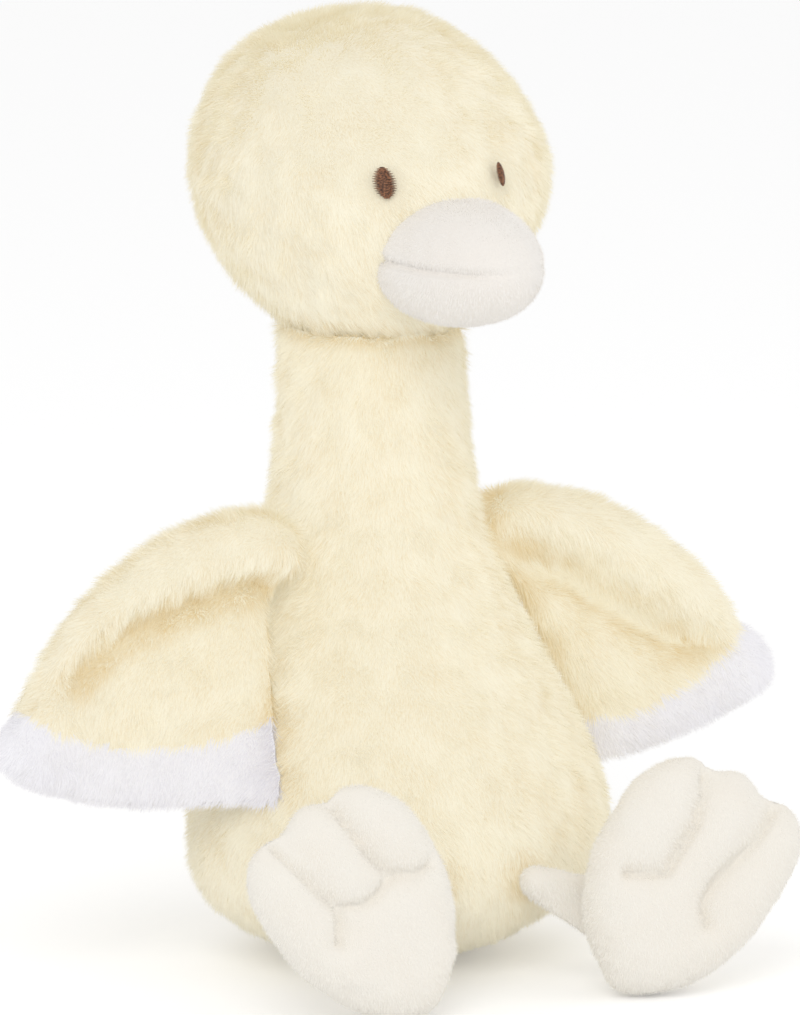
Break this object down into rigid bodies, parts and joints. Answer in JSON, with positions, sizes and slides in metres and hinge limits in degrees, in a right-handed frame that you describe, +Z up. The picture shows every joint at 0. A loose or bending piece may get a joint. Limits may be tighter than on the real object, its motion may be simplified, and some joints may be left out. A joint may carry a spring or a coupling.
{
  "type": "plush duck",
  "caption": "Seated stuffed toy duck with a long neck, round head, soft bill, two padded wings with white edging and webbed velour feet.",
  "frame": {"origin": "middle of the flat seat that the duck sits on", "axes": "+Z up, the duck faces -Y, its left side is +X"},
  "size_m": [0.2713, 0.1788, 0.2899],
  "materials": {
    "fur": "short pale yellow plush pile",
    "white_plush": "short white plush pile with a cool tint",
    "velour": "off-white velour, matte",
    "thread": "brown satin-stitch embroidery, slight sheen",
    "fibre": "white polyester fibre filling",
    "lining": "plain woven lining"
  },
  "bodies": {
    "torso": {"body_cover": "fur", "body_filling": "fibre", "bean_bag": "lining", "tail": "fur"},
    "head": {"head_cover": "fur", "head_filling": "fibre", "beak_upper": "velour", "beak_lower": "velour", "eye_right": "thread", "eye_left": "thread"},
    "wing_right": {"wing_right_front": "fur", "wing_right_back": "fur", "wing_right_filling": "fibre", "wing_right_trim": "white_plush"},
    "leg_right": {"leg_right": "velour"},
    "foot_right": {"foot_right_sole": "velour", "foot_right_top": "velour", "foot_right_filling": "fibre"},
    "wing_left": {"wing_left_front": "fur", "wing_left_back": "fur", "wing_left_filling": "fibre", "wing_left_trim": "white_plush"},
    "leg_left": {"leg_left": "velour"},
    "foot_left": {"foot_left_sole": "velour", "foot_left_top": "velour", "foot_left_filling": "fibre"}
  },
  "joints": [
    {"name": "head_nod", "type": "hinge", "parent": "torso", "child": "head", "pos_m": [0, 0.018, 0.2405], "axis": [1, 0, 0], "range_deg": [-15, 9], "stiffness_Nm_per_rad": 0.6},
    {"name": "wing_right_lift", "type": "hinge", "parent": "torso", "child": "wing_right", "pos_m": [-0.04504, 0.00452, 0.131], "axis": [0.0175, 0.9998, 0], "range_deg": [0, 70]},
    {"name": "wing_left_lift", "type": "hinge", "parent": "torso", "child": "wing_left", "pos_m": [0.04504, 0.00452, 0.131], "axis": [0.0698, -0.9976, 0], "range_deg": [0, 70]},
    {"name": "leg_right_swing", "type": "hinge", "parent": "torso", "child": "leg_right", "pos_m": [-0.0195, -0.05806, 0.0335], "axis": [0, 0, 1], "range_deg": [-8, 22], "stiffness_Nm_per_rad": 0.05},
    {"name": "leg_left_swing", "type": "hinge", "parent": "torso", "child": "leg_left", "pos_m": [0.015, -0.05912, 0.0335], "axis": [0, 0, -1], "range_deg": [-8, 22], "stiffness_Nm_per_rad": 0.05},
    {"name": "foot_right_tip", "type": "hinge", "parent": "leg_right", "child": "foot_right", "pos_m": [-0.0392, -0.06417, 0.0077], "axis": [1, 0, 0], "range_deg": [0, 45], "stiffness_Nm_per_rad": 0.1},
    {"name": "foot_left_tip", "type": "hinge", "parent": "leg_left", "child": "foot_left", "pos_m": [0.04327, -0.06983, 0.0075], "axis": [0.9703, -0.2419, 0], "range_deg": [0, 45], "stiffness_Nm_per_rad": 0.1}
  ]
}
